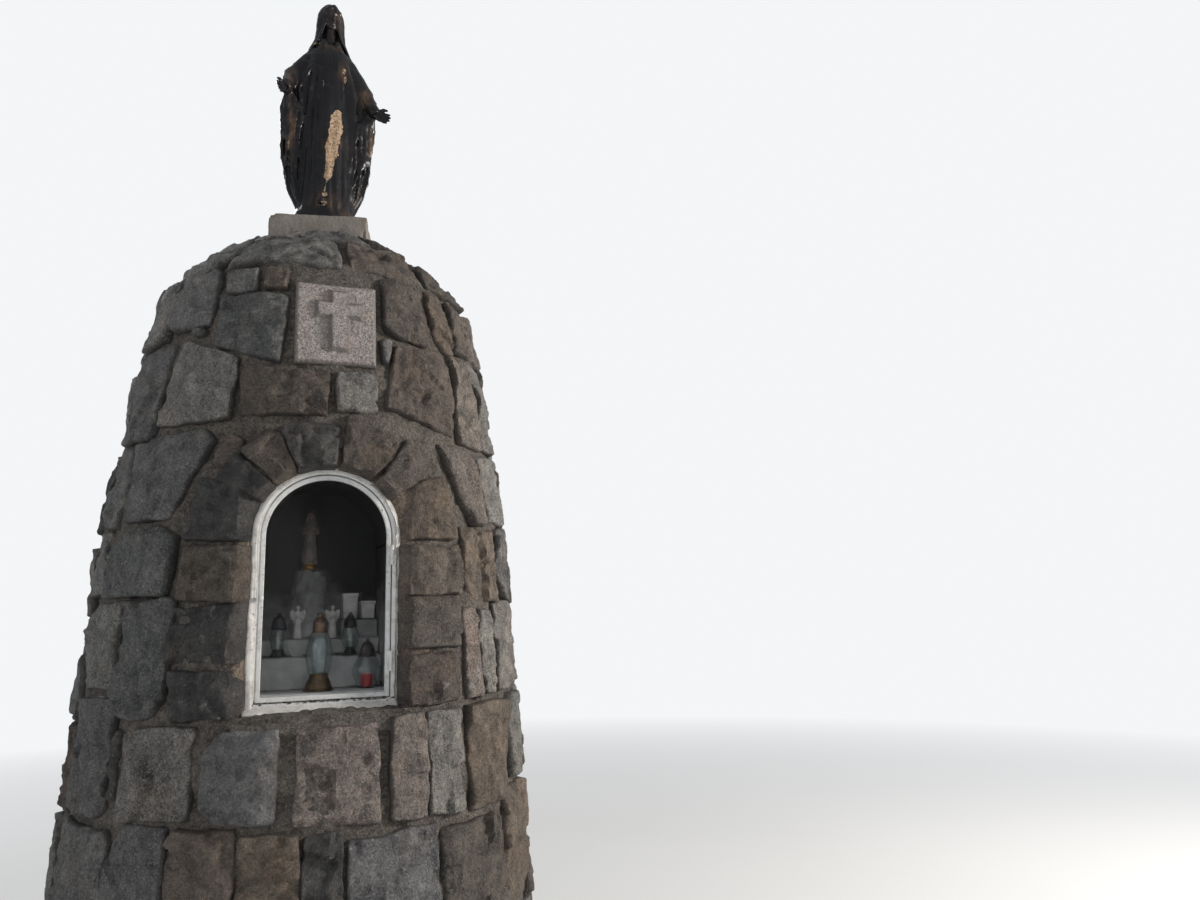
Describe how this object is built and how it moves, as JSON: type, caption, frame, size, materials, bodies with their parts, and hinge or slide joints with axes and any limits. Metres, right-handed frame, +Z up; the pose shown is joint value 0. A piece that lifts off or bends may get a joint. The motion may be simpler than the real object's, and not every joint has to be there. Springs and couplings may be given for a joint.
{
  "type": "wayside shrine",
  "caption": "Round rubble-stone wayside shrine with a domed top, an arched glazed niche holding grave lanterns, a carved cross tile and a veiled figure on a plinth.",
  "frame": {"origin": "centre of the round base, on the ground", "axes": "+Z up; the niche, its door and the figure face -Y; +X is to the viewer's right"},
  "size_m": [1.9398, 1.9398, 4.6203],
  "materials": {
    "rubble_stone": "split granite and basalt rubble in coarse mortar",
    "arch_stone": "rough dark stone blocks",
    "mortar": "coarse grey-brown mortar",
    "light_granite": "bush-hammered pale granite",
    "concrete": "weathered cast concrete",
    "painted_cast_stone": "black gloss paint, chipped to pale cast stone",
    "whitewash": "lumpy whitewashed plaster",
    "pale_plaster": "painted plaster with a gilded foot",
    "white_pot": "dull white",
    "white_bisque": "matt white",
    "brass": "aged brass-coloured",
    "clear_glass": "clear moulded",
    "frosted_white": "translucent white",
    "black_metal": "black, dulled",
    "grey_metal": "dark grey-brown, dulled",
    "red_wax": "red candle in a thin cup",
    "white_paint": "thick white brush paint, chipped with rust",
    "door_glass": "clear sheet"
  },
  "bodies": {
    "shrine": {"footing_course": "rubble_stone", "lower_course": "rubble_stone", "niche_pier_left": "arch_stone", "niche_pier_right": "arch_stone", "niche_back_wall": "rubble_stone", "haunch_left": "rubble_stone", "haunch_right": "rubble_stone", "arch_ring": "arch_stone", "upper_course": "rubble_stone", "tile_course": "rubble_stone", "shoulder_course": "rubble_stone", "crown_course": "rubble_stone", "sill_bed": "mortar", "cross_tile": "light_granite", "plinth": "concrete", "statue": "painted_cast_stone", "lining_back": "whitewash", "lining_sides": "whitewash", "lining_vault": "whitewash", "niche_floor": "whitewash", "step_lower": "whitewash", "step_upper": "whitewash", "grotto_mound": "whitewash", "figurine": "pale_plaster", "angels": "white_bisque", "planter": "white_pot", "bent_strip": "white_pot", "lantern_large_fittings": "brass", "lantern_large_glass": "clear_glass", "lantern_large_insert": "frosted_white", "lantern_left_fittings": "black_metal", "lantern_left_glass": "clear_glass", "lantern_right_fittings": "black_metal", "lantern_right_glass": "clear_glass", "lantern_round_cap": "grey_metal", "lantern_round_glass": "clear_glass", "lantern_round_candle": "red_wax", "door_frame": "white_paint", "frame_hinges": "white_paint", "latch_plates": "white_paint"},
    "door": {"door_sash": "white_paint", "door_glass": "door_glass", "glazing_bead": "white_paint", "sash_hinges": "white_paint", "door_knob": "white_paint"}
  },
  "joints": [
    {"name": "door_swing", "type": "hinge", "parent": "shrine", "child": "door", "pos_m": [0.2325, -0.75, 1.65], "axis": [0, 0, 1], "range_deg": [0, 105]}
  ]
}
